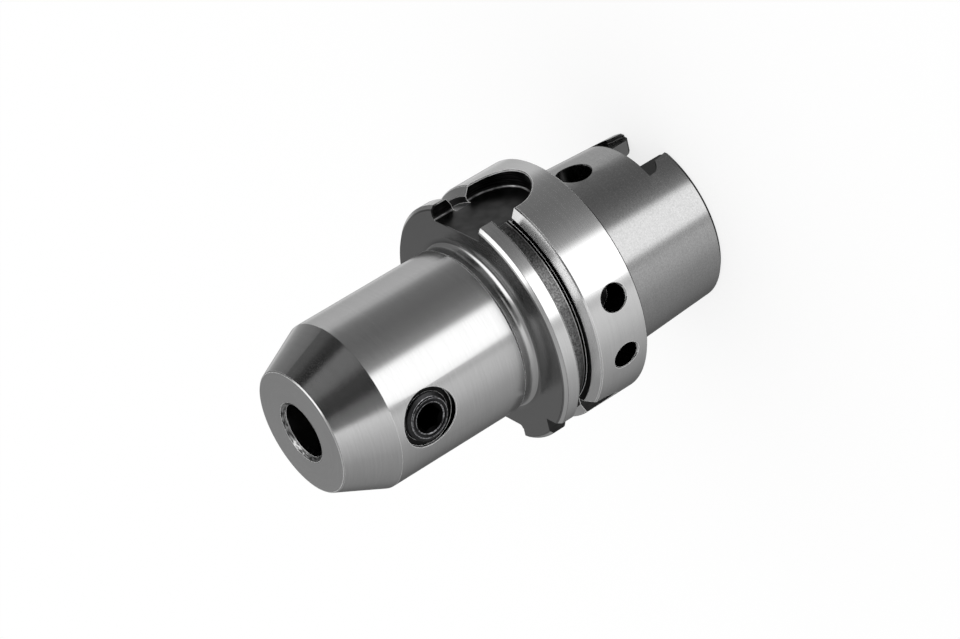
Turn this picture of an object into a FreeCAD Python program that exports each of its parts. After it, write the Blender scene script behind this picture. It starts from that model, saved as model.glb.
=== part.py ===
"""Side lock (Weldon) end mill holder with a 63 mm hollow taper shank, for 14 mm cutter shanks.

Frame, in millimetres: +Z runs along the spindle axis out of the nose, and the origin is the centre of
the gauge plane, the rear face of the flange. +X points at the wide keyway. The clamp screw is on -Y.
"""
import FreeCAD
import Part
import math
import os

# Hollow taper shank
SHANK_LENGTH = 32.0
GAUGE_DIAMETER = 48.010
GAUGE_DEPTH = 6.3
TAPER_RATIO = 9.98
SHANK_END_CHAMFER = (0.75, 0.8)
ROOT_RELIEF_CUT = 0.6
ROOT_RELIEF_LENGTH = 1.6
FACE_RELIEF_DEPTH = 0.4
FACE_RELIEF_WIDTH = 1.0

# Cavity in the shank, with the 30 degree clamping shoulder
CAVITY_RADIUS = 17.0
MOUTH_RADIUS = 17.8
MOUTH_DEPTH = 2.2
CLAMP_GROOVE_RADIUS = 20.0
CLAMP_SHOULDER_Z = -18.13
CLAMP_SHOULDER_ANGLE = 30.0
CAVITY_FLOOR_Z = -5.5
CAVITY_FLOOR_CHAMFER = 2.0

# Drive slots across the shank end, with a flat relieved into the taper beside each slot
DRIVE_SLOT_WIDTH = 12.54
DRIVE_SLOT_DEPTH = 8.8
DRIVE_SLOT_CORNER_RADIUS = 1.0
DRIVE_SLOT_LEAD_IN = 1.0
RELIEF_FLAT_HEIGHT = 19.9
RELIEF_HALF_WIDTH_FLOOR = 12.2
RELIEF_HALF_WIDTH_MIDDLE = 10.8
RELIEF_HALF_WIDTH_WAIST = 9.1
RELIEF_HALF_WIDTH_END = 8.0
RELIEF_MIDDLE_DROP = 3.0
RELIEF_WAIST_DROP = 4.1

# Access holes for the clamping wrench, through the shank wall on the X axis
ACCESS_HOLE_RADIUS = 4.2
ACCESS_HOLE_Z = -10.0
ACCESS_HOLE_CHAMFER = 0.45

# Flange with its gripper groove
FLANGE_RADIUS = 31.5
FLANGE_LENGTH = 26.0
FLANGE_FRONT_CHAMFER = 1.0
FLANGE_REAR_CHAMFER = 0.4
GROOVE_CENTRE_Z = 18.0
GROOVE_MOUTH_WIDTH = 7.0
GROOVE_DEPTH = 4.0
GROOVE_FLANK_DEPTH = 2.3
GROOVE_FLANK_ANGLE = 30.0
EDGE_BREAK = 0.25

# Keyways in the flange, open to the front, each with a round end
KEYWAY_DEPTH = 5.0
WIDE_KEYWAY_WIDTH = 18.0
NARROW_KEYWAY_WIDTH = 16.0
KEYWAY_END_Z = 4.2
KEYWAY_FLOOR_FILLET = 0.8
KEYWAY_RIM_CHAMFER = 0.3

# Orientation notch, a 90 degree V cut midway between the narrow keyway and the clamp screw
NOTCH_DEPTH = 3.6
NOTCH_ANGLE = -135.0
NOTCH_RUNOUT_Z = 14.0
NOTCH_CUTTER_RADIUS = 10.0

# Blind balance holes in the rear band: two beside the clamp screw plane, one behind the wide keyway
BALANCE_HOLE_RADIUS = 3.5
BALANCE_HOLE_DEPTH = 8.0
BALANCE_HOLE_Z = 6.8
BALANCE_HOLE_ANGLES = (-75.0, -105.0, 40.0)
BALANCE_HOLE_CHAMFER = 0.35
DRILL_POINT_ANGLE = 118.0

# Data chip hole in the gripper groove, on the side away from the screw
CHIP_HOLE_RADIUS = 5.0
CHIP_HOLE_DEPTH = 4.6

# Body, nose and neck
OVERALL_LENGTH = 80.0
BODY_RADIUS = 22.0
BODY_REAR_Z = 30.2
NECK_RADIUS = 21.2
NECK_STEP_CHAMFER = 0.8
NECK_FILLET_RADIUS = 2.0
NOSE_CONE_START_Z = 67.3
NOSE_FACE_RADIUS = 15.95
NOSE_EDGE_BREAK = 0.25

# Tool bore and coolant passage
TOOL_BORE_RADIUS = 7.0
TOOL_BORE_DEPTH = 50.0
TOOL_BORE_CHAMFER = 0.95
COOLANT_PASSAGE_RADIUS = 4.2

# Clamp screw, M12, with a flat point and a hexagon socket
SCREW_DISTANCE_FROM_NOSE = 22.1
SCREW_RADIUS = 6.0
SCREW_RECESS = 0.25
SCREW_TIP_CLEARANCE = 0.75
SCREW_END_CHAMFER = (0.95, 0.5)
SCREW_POINT_RADIUS = 4.5
SCREW_POINT_LENGTH = 1.6
SCREW_SOCKET_FLATS = 6.0
SCREW_SOCKET_DEPTH = 6.5
SCREW_SOCKET_COUNTERSINK_RADIUS = 3.95
SCREW_FACE_GROOVE = (4.2, 4.55, 0.25)
SCREW_HOLE_CLEARANCE = 0.05
SCREW_COUNTERBORE_RADIUS = 7.4
SCREW_COUNTERBORE_DEPTH = 2.0
SCREW_COUNTERBORE_EDGE = 0.15

# Coolant tube unit, M18 x 1: the tube's collar floats between two O-rings above a slotted nut
SEAT_FLOOR_Z = 10.3
SEAT_RADIUS = 8.0
SEAT_SHOULDER_Z = 4.9
TUBE_RADIUS = 6.0
TUBE_BORE_RADIUS = 4.0
TUBE_LENGTH = 36.6
TUBE_SEAL_LENGTH = 18.0
TUBE_RELIEF = 0.2
TUBE_END_GAP = 0.6
TUBE_EDGE_BREAK = 0.5
COLLAR_CLEARANCE = 0.5
COLLAR_FLOAT = 0.3
O_RING_SECTION_RADIUS = 0.7
O_RING_CLEARANCE = 0.2
NUT_RADIUS = 9.0
NUT_THREAD_CLEARANCE = 0.05
NUT_LENGTH = 12.0
NUT_BORE_CLEARANCE = 0.6
NUT_SLOT_COUNT = 6
NUT_SLOT_WIDTH = 2.6
NUT_SLOT_DEPTH = 2.5
NUT_EDGE_BREAK = 0.5
NUT_THREAD_CHAMFER = 0.6

SHANK_END_Z = -SHANK_LENGTH
KEYWAY_FLOOR = FLANGE_RADIUS - KEYWAY_DEPTH
DRIVE_SLOT_FLOOR_Z = SHANK_END_Z + DRIVE_SLOT_DEPTH
SCREW_Z = OVERALL_LENGTH - SCREW_DISTANCE_FROM_NOSE
SCREW_FACE = BODY_RADIUS - SCREW_RECESS
SCREW_TIP = TOOL_BORE_RADIUS + SCREW_TIP_CLEARANCE
OVERCUT = 1.0

AXIS_X = FreeCAD.Vector(1, 0, 0)
AXIS_Y = FreeCAD.Vector(0, 1, 0)
AXIS_Z = FreeCAD.Vector(0, 0, 1)
ORIGIN = FreeCAD.Vector(0, 0, 0)


def taper_radius(z):
    """Outer radius of the shank taper at height z."""
    return GAUGE_DIAMETER / 2 + (z + GAUGE_DEPTH) / (2 * TAPER_RATIO)


def section_point(r, z):
    """A point of a turned section, in the XZ plane."""
    return FreeCAD.Vector(r, 0, z)


def revolved(start, steps):
    """Turns a closed section about Z. A step is the next point, or an arc's middle and end points."""
    edges = []
    here = section_point(*start)
    for step in steps + [start]:
        if isinstance(step[0], tuple):
            middle = section_point(*step[0])
            end = section_point(*step[1])
            edges.append(Part.Arc(here, middle, end).toShape())
        else:
            end = section_point(*step)
            edges.append(Part.LineSegment(here, end).toShape())
        here = end
    face = Part.Face(Part.Wire(edges))
    return face.revolve(ORIGIN, AXIS_Z, 360)


def prism(points, direction):
    """A straight prism on a polygon of points."""
    wire = Part.makePolygon(points + [points[0]])
    return Part.Face(wire).extrude(direction)


def radial_cylinder(radius, inner, outer, angle, z):
    """A cylinder along a radius of the holder, from one distance off the axis to another."""
    direction = FreeCAD.Vector(math.cos(math.radians(angle)), math.sin(math.radians(angle)), 0)
    foot = direction * inner + AXIS_Z * z
    return Part.makeCylinder(radius, outer - inner, foot, direction)


def radial_cone(inner_radius, outer_radius, inner, outer, angle, z):
    """A cone along a radius of the holder."""
    direction = FreeCAD.Vector(math.cos(math.radians(angle)), math.sin(math.radians(angle)), 0)
    foot = direction * inner + AXIS_Z * z
    return Part.makeCone(inner_radius, outer_radius, outer - inner, foot, direction)


def turned_blank():
    """The holder as it leaves the lathe: shank, flange, body, nose and every bore on the axis."""
    chamfer_width, chamfer_height = SHANK_END_CHAMFER
    chamfer_z = SHANK_END_Z + chamfer_height
    chamfer_radius = taper_radius(chamfer_z)
    root_radius = taper_radius(0) - ROOT_RELIEF_CUT
    face_relief_radius = taper_radius(0) + FACE_RELIEF_WIDTH
    root_z = -ROOT_RELIEF_LENGTH
    half_mouth = GROOVE_MOUTH_WIDTH / 2
    groove_bottom = FLANGE_RADIUS - GROOVE_DEPTH
    flank_bottom = FLANGE_RADIUS - GROOVE_FLANK_DEPTH
    flank_run = GROOVE_FLANK_DEPTH * math.tan(math.radians(GROOVE_FLANK_ANGLE))
    break_run = EDGE_BREAK * math.tan(math.radians(GROOVE_FLANK_ANGLE))
    fillet_centre_r = NECK_RADIUS + NECK_FILLET_RADIUS
    fillet_centre_z = FLANGE_LENGTH + NECK_FILLET_RADIUS
    fillet_middle = NECK_FILLET_RADIUS * math.sqrt(0.5)
    bore_bottom_z = OVERALL_LENGTH - TOOL_BORE_DEPTH
    drill_slope = math.tan(math.radians(90 - DRILL_POINT_ANGLE / 2))
    drill_run = (TOOL_BORE_RADIUS - COOLANT_PASSAGE_RADIUS) * drill_slope
    thread_radius = NUT_RADIUS + NUT_THREAD_CLEARANCE
    shoulder_run = (CLAMP_GROOVE_RADIUS - CAVITY_RADIUS) / math.tan(math.radians(CLAMP_SHOULDER_ANGLE))
    shank_outside = [
        (chamfer_radius - chamfer_width, SHANK_END_Z),
        (chamfer_radius, chamfer_z),
        (taper_radius(root_z), root_z),
        (root_radius, root_z + ROOT_RELIEF_CUT),
        (root_radius, FACE_RELIEF_DEPTH),
        (face_relief_radius, FACE_RELIEF_DEPTH),
        (face_relief_radius, 0),
    ]
    flange_outside = [
        (FLANGE_RADIUS - FLANGE_REAR_CHAMFER, 0),
        (FLANGE_RADIUS, FLANGE_REAR_CHAMFER),
        (FLANGE_RADIUS, GROOVE_CENTRE_Z - half_mouth - EDGE_BREAK),
        (FLANGE_RADIUS - EDGE_BREAK, GROOVE_CENTRE_Z - half_mouth + break_run),
        (flank_bottom, GROOVE_CENTRE_Z - half_mouth + flank_run),
        (groove_bottom, GROOVE_CENTRE_Z - half_mouth + flank_run),
        (groove_bottom, GROOVE_CENTRE_Z + half_mouth - flank_run),
        (flank_bottom, GROOVE_CENTRE_Z + half_mouth - flank_run),
        (FLANGE_RADIUS - EDGE_BREAK, GROOVE_CENTRE_Z + half_mouth - break_run),
        (FLANGE_RADIUS, GROOVE_CENTRE_Z + half_mouth + EDGE_BREAK),
        (FLANGE_RADIUS, FLANGE_LENGTH - FLANGE_FRONT_CHAMFER),
        (FLANGE_RADIUS - FLANGE_FRONT_CHAMFER, FLANGE_LENGTH),
    ]
    fillet_mid_point = (fillet_centre_r - fillet_middle, fillet_centre_z - fillet_middle)
    body_outside = [
        (fillet_centre_r, FLANGE_LENGTH),
        (fillet_mid_point, (NECK_RADIUS, fillet_centre_z)),
        (NECK_RADIUS, BODY_REAR_Z - NECK_STEP_CHAMFER),
        (BODY_RADIUS, BODY_REAR_Z),
        (BODY_RADIUS, NOSE_CONE_START_Z),
        (NOSE_FACE_RADIUS + NOSE_EDGE_BREAK, OVERALL_LENGTH - NOSE_EDGE_BREAK),
        (NOSE_FACE_RADIUS, OVERALL_LENGTH),
    ]
    tool_bore = [
        (TOOL_BORE_RADIUS + TOOL_BORE_CHAMFER, OVERALL_LENGTH),
        (TOOL_BORE_RADIUS, OVERALL_LENGTH - TOOL_BORE_CHAMFER),
        (TOOL_BORE_RADIUS, bore_bottom_z),
        (COOLANT_PASSAGE_RADIUS, bore_bottom_z - drill_run),
        (COOLANT_PASSAGE_RADIUS, SEAT_FLOOR_Z),
    ]
    cavity = [
        (SEAT_RADIUS, SEAT_FLOOR_Z),
        (SEAT_RADIUS, SEAT_SHOULDER_Z),
        (thread_radius, SEAT_SHOULDER_Z),
        (thread_radius, CAVITY_FLOOR_Z + NUT_THREAD_CHAMFER),
        (thread_radius + NUT_THREAD_CHAMFER, CAVITY_FLOOR_Z),
        (CLAMP_GROOVE_RADIUS - CAVITY_FLOOR_CHAMFER, CAVITY_FLOOR_Z),
        (CLAMP_GROOVE_RADIUS, CAVITY_FLOOR_Z - CAVITY_FLOOR_CHAMFER),
        (CLAMP_GROOVE_RADIUS, CLAMP_SHOULDER_Z),
        (CAVITY_RADIUS, CLAMP_SHOULDER_Z - shoulder_run),
        (CAVITY_RADIUS, SHANK_END_Z + MOUTH_DEPTH),
    ]
    start = (MOUTH_RADIUS, SHANK_END_Z)
    return revolved(start, shank_outside + flange_outside + body_outside + tool_bore + cavity)


def keyway(width):
    """Cutter for a keyway towards +X: a slot with a round end, open at the flange's front face."""
    radius = width / 2
    centre_z = KEYWAY_END_Z + radius
    reach = FLANGE_RADIUS + OVERCUT - KEYWAY_FLOOR
    front = FLANGE_LENGTH + OVERCUT + KEYWAY_FLOOR_FILLET
    corner = FreeCAD.Vector(KEYWAY_FLOOR, -radius, centre_z)
    straight = Part.makeBox(reach, width, front - centre_z, corner)
    round_end = Part.makeCylinder(radius, reach, FreeCAD.Vector(KEYWAY_FLOOR, 0, centre_z), AXIS_X)
    tool = straight.fuse(round_end).removeSplitter()
    floor_edges = []
    for edge in tool.Edges:
        on_floor = abs(edge.BoundBox.XMax - KEYWAY_FLOOR) < 1e-6
        at_front = edge.BoundBox.ZMin > front - 1e-6
        if on_floor and not at_front:
            floor_edges.append(edge)
    return tool.makeFillet(KEYWAY_FLOOR_FILLET, floor_edges)


def keyway_rim(solid, side, width):
    """The edges where a keyway on one side (1 or -1) opens through the outside of the flange."""
    half = width / 2
    centre_z = KEYWAY_END_Z + half
    chamfer_z = FLANGE_LENGTH - FLANGE_FRONT_CHAMFER
    tolerance = 0.02

    def on_rim(point):
        if point.z > centre_z:
            on_wall = abs(abs(point.y) - half) < tolerance
        else:
            on_wall = abs(math.hypot(point.y, point.z - centre_z) - half) < tolerance
        radius = math.hypot(point.x, point.y)
        at_outside = point.z < chamfer_z + tolerance and abs(radius - FLANGE_RADIUS) < tolerance
        at_chamfer = abs(radius + point.z - FLANGE_RADIUS - chamfer_z) < tolerance
        return on_wall and (at_outside or at_chamfer) and point.x * side > KEYWAY_FLOOR

    rim = []
    for edge in solid.Edges:
        first = edge.FirstParameter
        span = edge.LastParameter - first
        if all(on_rim(edge.valueAt(first + span * share)) for share in (0.1, 0.5, 0.9)):
            rim.append(edge)
    return rim


def keyway_mouth(width):
    """Cutter that breaks a keyway's two edges in the flange's front face, towards +X."""
    half = width / 2
    edge = KEYWAY_RIM_CHAMFER
    near = AXIS_X * (KEYWAY_FLOOR + KEYWAY_FLOOR_FILLET)
    low = near + AXIS_Z * (FLANGE_LENGTH - edge)
    high = near + AXIS_Z * (FLANGE_LENGTH + OVERCUT)
    wide = half + edge + OVERCUT
    return prism(
        [low - AXIS_Y * half, low + AXIS_Y * half, high + AXIS_Y * wide, high - AXIS_Y * wide],
        AXIS_X * KEYWAY_DEPTH,
    )


def orientation_notch():
    """Cutter for the V notch from the front face, running out behind the gripper groove."""
    reach = NOTCH_CUTTER_RADIUS
    root = FreeCAD.Vector(FLANGE_RADIUS - NOTCH_DEPTH, 0, NOTCH_RUNOUT_Z)
    centre = root + AXIS_X * reach
    straight = prism(
        [root, centre + AXIS_Y * reach, centre - AXIS_Y * reach],
        AXIS_Z * (FLANGE_LENGTH + OVERCUT - NOTCH_RUNOUT_Z),
    )
    left = Part.makeCone(reach, 0, reach, centre, AXIS_Y)
    right = Part.makeCone(reach, 0, reach, centre, AXIS_Y * -1)
    tool = straight.fuse([left, right])
    tool.rotate(ORIGIN, AXIS_Z, NOTCH_ANGLE)
    return tool


def drive_slot():
    """Cutter for both drive slots: one straight slot across the shank end with a lead-in."""
    half = DRIVE_SLOT_WIDTH / 2
    reach = GAUGE_DIAMETER
    low_z = SHANK_END_Z - OVERCUT
    corner = FreeCAD.Vector(-reach / 2, -half, low_z)
    slot = Part.makeBox(reach, DRIVE_SLOT_WIDTH, DRIVE_SLOT_FLOOR_Z - low_z, corner)
    floor_edges = []
    for edge in slot.Edges:
        along_x = abs(edge.BoundBox.XLength - reach) < 1e-6
        if along_x and edge.BoundBox.ZMax > DRIVE_SLOT_FLOOR_Z - 1e-6:
            floor_edges.append(edge)
    slot = slot.makeFillet(DRIVE_SLOT_CORNER_RADIUS, floor_edges)
    top = AXIS_X * (-reach / 2) + AXIS_Z * (SHANK_END_Z + DRIVE_SLOT_LEAD_IN)
    bottom = AXIS_X * (-reach / 2) + AXIS_Z * low_z
    wide = half + DRIVE_SLOT_LEAD_IN + OVERCUT
    lead_in = prism(
        [top - AXIS_Y * half, top + AXIS_Y * half, bottom + AXIS_Y * wide, bottom - AXIS_Y * wide],
        AXIS_X * reach,
    )
    return slot.fuse(lead_in)


def slot_relief(side):
    """Cutter for the flat beside a drive slot, wide at the slot floor and waisted towards the end."""
    def point(y, z):
        return FreeCAD.Vector(RELIEF_FLAT_HEIGHT, y, z)

    edges = []
    for sign in (1, -1):
        floor = point(sign * RELIEF_HALF_WIDTH_FLOOR, DRIVE_SLOT_FLOOR_Z)
        middle = point(sign * RELIEF_HALF_WIDTH_MIDDLE, DRIVE_SLOT_FLOOR_Z - RELIEF_MIDDLE_DROP)
        waist = point(sign * RELIEF_HALF_WIDTH_WAIST, DRIVE_SLOT_FLOOR_Z - RELIEF_WAIST_DROP)
        end = point(sign * RELIEF_HALF_WIDTH_END, SHANK_END_Z - OVERCUT)
        edges.append(Part.Arc(floor, middle, waist).toShape())
        edges.append(Part.LineSegment(waist, end).toShape())
    edges.append(Part.LineSegment(edges[0].Vertexes[0].Point, edges[2].Vertexes[0].Point).toShape())
    edges.append(Part.LineSegment(edges[1].Vertexes[1].Point, edges[3].Vertexes[1].Point).toShape())
    wire = Part.Wire(Part.__sortEdges__(edges))
    tool = Part.Face(wire).extrude(AXIS_X * (GAUGE_DIAMETER / 2 + OVERCUT - RELIEF_FLAT_HEIGHT))
    if side < 0:
        tool.rotate(ORIGIN, AXIS_Z, 180)
    return tool


def balance_hole(angle):
    """Cutter for a blind drilled hole in the flange's rear band, with its rim chamfered."""
    bottom = FLANGE_RADIUS - BALANCE_HOLE_DEPTH
    point_depth = BALANCE_HOLE_RADIUS / math.tan(math.radians(DRILL_POINT_ANGLE / 2))
    outside = FLANGE_RADIUS + OVERCUT
    hole = radial_cylinder(BALANCE_HOLE_RADIUS, bottom, outside, angle, BALANCE_HOLE_Z)
    tip = radial_cone(0, BALANCE_HOLE_RADIUS, bottom - point_depth, bottom, angle, BALANCE_HOLE_Z)
    foot = FLANGE_RADIUS - BALANCE_HOLE_CHAMFER
    rim_radius = BALANCE_HOLE_RADIUS + outside - foot
    rim = radial_cone(BALANCE_HOLE_RADIUS, rim_radius, foot, outside, angle, BALANCE_HOLE_Z)
    return hole.fuse([tip, rim])


def access_hole(angle):
    """Cutter for a wrench access hole through the shank wall, with its outer rim chamfered."""
    surface = taper_radius(ACCESS_HOLE_Z)
    outside = surface + OVERCUT
    hole = radial_cylinder(ACCESS_HOLE_RADIUS, CAVITY_RADIUS, outside, angle, ACCESS_HOLE_Z)
    foot = surface - ACCESS_HOLE_CHAMFER
    rim_radius = ACCESS_HOLE_RADIUS + outside - foot
    rim = radial_cone(ACCESS_HOLE_RADIUS, rim_radius, foot, outside, angle, ACCESS_HOLE_Z)
    return hole.fuse(rim)


def chip_hole():
    """Cutter for the data chip hole, centred in the gripper groove on +Y."""
    bottom = FLANGE_RADIUS - CHIP_HOLE_DEPTH
    return radial_cylinder(CHIP_HOLE_RADIUS, bottom, FLANGE_RADIUS + OVERCUT, 90, GROOVE_CENTRE_Z)


def screw_hole():
    """Cutter for the clamp screw's hole, from the tool bore out through the body, with a counterbore."""
    outside = BODY_RADIUS + OVERCUT
    floor = BODY_RADIUS - SCREW_COUNTERBORE_DEPTH
    hole = radial_cylinder(SCREW_RADIUS + SCREW_HOLE_CLEARANCE, 0, floor + OVERCUT, -90, SCREW_Z)
    counterbore = radial_cylinder(SCREW_COUNTERBORE_RADIUS, floor, outside, -90, SCREW_Z)
    return hole.fuse(counterbore)


def counterbore_rim(solid):
    """The edges where the counterbore opens through the outside of the body."""
    tolerance = 0.02

    def on_rim(point):
        off_hole = abs(math.hypot(point.x, point.z - SCREW_Z) - SCREW_COUNTERBORE_RADIUS)
        off_body = abs(math.hypot(point.x, point.y) - BODY_RADIUS)
        return off_hole < tolerance and off_body < tolerance and point.y < 0

    rim = []
    for edge in solid.Edges:
        first = edge.FirstParameter
        span = edge.LastParameter - first
        if all(on_rim(edge.valueAt(first + span * share)) for share in (0.1, 0.5, 0.9)):
            rim.append(edge)
    return rim


def holder_body():
    """The one-piece steel holder."""
    solid = turned_blank()
    for side, width in ((1, WIDE_KEYWAY_WIDTH), (-1, NARROW_KEYWAY_WIDTH)):
        slot = keyway(width)
        mouth = keyway_mouth(width)
        if side < 0:
            slot.rotate(ORIGIN, AXIS_Z, 180)
            mouth.rotate(ORIGIN, AXIS_Z, 180)
        solid = solid.cut(slot)
        solid = solid.makeChamfer(KEYWAY_RIM_CHAMFER, keyway_rim(solid, side, width))
        solid = solid.cut(mouth)
    solid = solid.cut(screw_hole())
    solid = solid.makeChamfer(SCREW_COUNTERBORE_EDGE, counterbore_rim(solid))
    cutters = [drive_slot(), slot_relief(1), slot_relief(-1), orientation_notch()]
    cutters += [balance_hole(angle) for angle in BALANCE_HOLE_ANGLES]
    cutters += [access_hole(0), access_hole(180), chip_hole()]
    for cutter in cutters:
        solid = solid.cut(cutter)
    return solid


def hexagon_prism(flats, foot, direction, length):
    """A hexagonal prism along the Y axis, for a wrench socket, with two corners on its Z axis."""
    corner_radius = flats / math.sqrt(3)
    points = []
    for index in range(6):
        angle = math.radians(60 * index)
        offset = AXIS_Z * (corner_radius * math.cos(angle)) + AXIS_X * (corner_radius * math.sin(angle))
        points.append(foot + offset)
    return prism(points, direction * length)


def clamp_screw():
    """Flat-point set screw along -Y, socket outwards, with its tip just clear of the tool bore."""
    outward = AXIS_Y * -1
    point_top = SCREW_TIP + SCREW_POINT_LENGTH
    thread_start = point_top + SCREW_RADIUS - SCREW_POINT_RADIUS
    chamfer_width, chamfer_height = SCREW_END_CHAMFER
    thread_end = SCREW_FACE - chamfer_height
    face_radius = SCREW_RADIUS - chamfer_width
    point = radial_cylinder(SCREW_POINT_RADIUS, SCREW_TIP, point_top, -90, SCREW_Z)
    run_in = radial_cone(SCREW_POINT_RADIUS, SCREW_RADIUS, point_top, thread_start, -90, SCREW_Z)
    barrel = radial_cylinder(SCREW_RADIUS, thread_start, thread_end, -90, SCREW_Z)
    end = radial_cone(SCREW_RADIUS, face_radius, thread_end, SCREW_FACE, -90, SCREW_Z)
    solid = point.fuse([run_in, barrel, end]).removeSplitter()
    socket_foot = outward * (SCREW_FACE - SCREW_SOCKET_DEPTH) + AXIS_Z * SCREW_Z
    socket = hexagon_prism(SCREW_SOCKET_FLATS, socket_foot, outward, SCREW_SOCKET_DEPTH + OVERCUT)
    flat_radius = SCREW_SOCKET_FLATS / 2
    sink_depth = SCREW_SOCKET_COUNTERSINK_RADIUS - flat_radius
    countersink = radial_cone(
        flat_radius,
        SCREW_SOCKET_COUNTERSINK_RADIUS + OVERCUT,
        SCREW_FACE - sink_depth,
        SCREW_FACE + OVERCUT,
        -90,
        SCREW_Z,
    )
    inner, outer, depth = SCREW_FACE_GROOVE
    groove = radial_cylinder(outer, SCREW_FACE - depth, SCREW_FACE + OVERCUT, -90, SCREW_Z)
    groove = groove.cut(radial_cylinder(inner, 0, SCREW_FACE + 2 * OVERCUT, -90, SCREW_Z))
    return solid.cut(socket).cut(countersink).cut(groove)


def coolant_tube():
    """Coolant tube with its collar, hanging in the shank cavity."""
    top = SEAT_FLOOR_Z - TUBE_END_GAP
    bottom = top - TUBE_LENGTH
    ring_room = 2 * O_RING_SECTION_RADIUS + COLLAR_FLOAT
    collar_radius = SEAT_RADIUS - COLLAR_CLEARANCE
    relieved_radius = TUBE_RADIUS - TUBE_RELIEF
    steps = [
        (TUBE_RADIUS - TUBE_EDGE_BREAK, bottom),
        (TUBE_RADIUS, bottom + TUBE_EDGE_BREAK),
        (TUBE_RADIUS, bottom + TUBE_SEAL_LENGTH),
        (relieved_radius, bottom + TUBE_SEAL_LENGTH + TUBE_RELIEF),
        (relieved_radius, SEAT_SHOULDER_Z + ring_room),
        (collar_radius, SEAT_SHOULDER_Z + ring_room),
        (collar_radius, SEAT_FLOOR_Z - ring_room),
        (relieved_radius, SEAT_FLOOR_Z - ring_room),
        (relieved_radius, top),
        (TUBE_BORE_RADIUS + TUBE_EDGE_BREAK, top),
        (TUBE_BORE_RADIUS, top - TUBE_EDGE_BREAK),
    ]
    return revolved((TUBE_BORE_RADIUS, bottom), steps)


def coolant_union_nut():
    """Slotted union nut, screwed home on its shoulder, that keeps the tube's collar in its seat."""
    bore_radius = TUBE_RADIUS + NUT_BORE_CLEARANCE
    bottom = SEAT_SHOULDER_Z - NUT_LENGTH
    steps = [
        (NUT_RADIUS - NUT_EDGE_BREAK, bottom),
        (NUT_RADIUS, bottom + NUT_EDGE_BREAK),
        (NUT_RADIUS, SEAT_SHOULDER_Z - NUT_EDGE_BREAK),
        (NUT_RADIUS - NUT_EDGE_BREAK, SEAT_SHOULDER_Z),
        (bore_radius, SEAT_SHOULDER_Z),
    ]
    nut = revolved((bore_radius, bottom), steps)
    corner = FreeCAD.Vector(bore_radius - OVERCUT, -NUT_SLOT_WIDTH / 2, bottom - OVERCUT)
    for index in range(NUT_SLOT_COUNT):
        slot = Part.makeBox(NUT_RADIUS, NUT_SLOT_WIDTH, NUT_SLOT_DEPTH + OVERCUT, corner)
        slot.rotate(ORIGIN, AXIS_Z, index * 360 / NUT_SLOT_COUNT)
        nut = nut.cut(slot)
    return nut


def o_ring(centre_z):
    """One O-ring in the tube's seat."""
    centre_radius = SEAT_RADIUS - O_RING_CLEARANCE - O_RING_SECTION_RADIUS
    return Part.makeTorus(centre_radius, O_RING_SECTION_RADIUS, AXIS_Z * centre_z, AXIS_Z)


nodes = {
    "holder_body": holder_body(),
    "clamp_screw": clamp_screw(),
    "coolant_tube": coolant_tube(),
    "coolant_union_nut": coolant_union_nut(),
    "seat_o_ring": o_ring(SEAT_FLOOR_Z - O_RING_SECTION_RADIUS),
    "nut_o_ring": o_ring(SEAT_SHOULDER_Z + O_RING_SECTION_RADIUS),
}

os.makedirs("parts", exist_ok=True)
for name, shape in nodes.items():
    solids = shape.Solids
    print(name, "solids", len(solids), "valid", shape.isValid(), "volume", round(shape.Volume, 1))
    if len(solids) == 1:
        shape = solids[0]
    shape.exportStep("parts/" + name + ".step")
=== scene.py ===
"""Side lock end mill holder with a 63 mm hollow taper shank, seen three quarters from the nose.

Metres, in the frame of the CAD model: +Z runs along the spindle axis out of the nose, +X points at the
wide keyway, and the clamp screw is on -Y.
"""
import math

import bmesh
import bpy
from mathutils import Matrix, Vector


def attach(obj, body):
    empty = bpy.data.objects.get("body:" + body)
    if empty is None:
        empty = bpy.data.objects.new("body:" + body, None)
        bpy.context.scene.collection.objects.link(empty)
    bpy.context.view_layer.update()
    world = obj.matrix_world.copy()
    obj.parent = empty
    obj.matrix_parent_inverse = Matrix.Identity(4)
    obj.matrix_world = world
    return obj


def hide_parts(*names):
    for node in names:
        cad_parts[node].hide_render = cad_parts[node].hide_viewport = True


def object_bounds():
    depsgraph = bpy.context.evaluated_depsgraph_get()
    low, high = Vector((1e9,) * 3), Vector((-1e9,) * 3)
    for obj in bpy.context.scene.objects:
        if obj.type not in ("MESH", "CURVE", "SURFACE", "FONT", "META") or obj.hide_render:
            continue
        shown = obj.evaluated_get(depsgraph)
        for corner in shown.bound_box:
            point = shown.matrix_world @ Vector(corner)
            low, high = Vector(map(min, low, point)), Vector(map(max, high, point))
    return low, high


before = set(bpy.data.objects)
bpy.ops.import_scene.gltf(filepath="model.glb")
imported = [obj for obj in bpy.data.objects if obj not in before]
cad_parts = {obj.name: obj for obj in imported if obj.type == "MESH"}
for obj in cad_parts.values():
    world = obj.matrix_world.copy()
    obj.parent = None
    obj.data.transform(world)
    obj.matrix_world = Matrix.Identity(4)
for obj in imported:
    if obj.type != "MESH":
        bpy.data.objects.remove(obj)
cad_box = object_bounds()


# Camera. A long lens, rolled so that the holder lies across the picture, nose to the lower left.
LENS = 131.896
SENSOR_WIDTH = 36.0
NEAR_LIMIT = 0.01
camera_place = Vector((0.43884, -0.61812, 0.39334))
camera_right = Vector((-0.206604, -0.604187, -0.769593))
camera_up = Vector((0.828912, 0.309808, -0.465751))
camera_back = Vector((0.519827, -0.73415, 0.43681))

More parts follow.
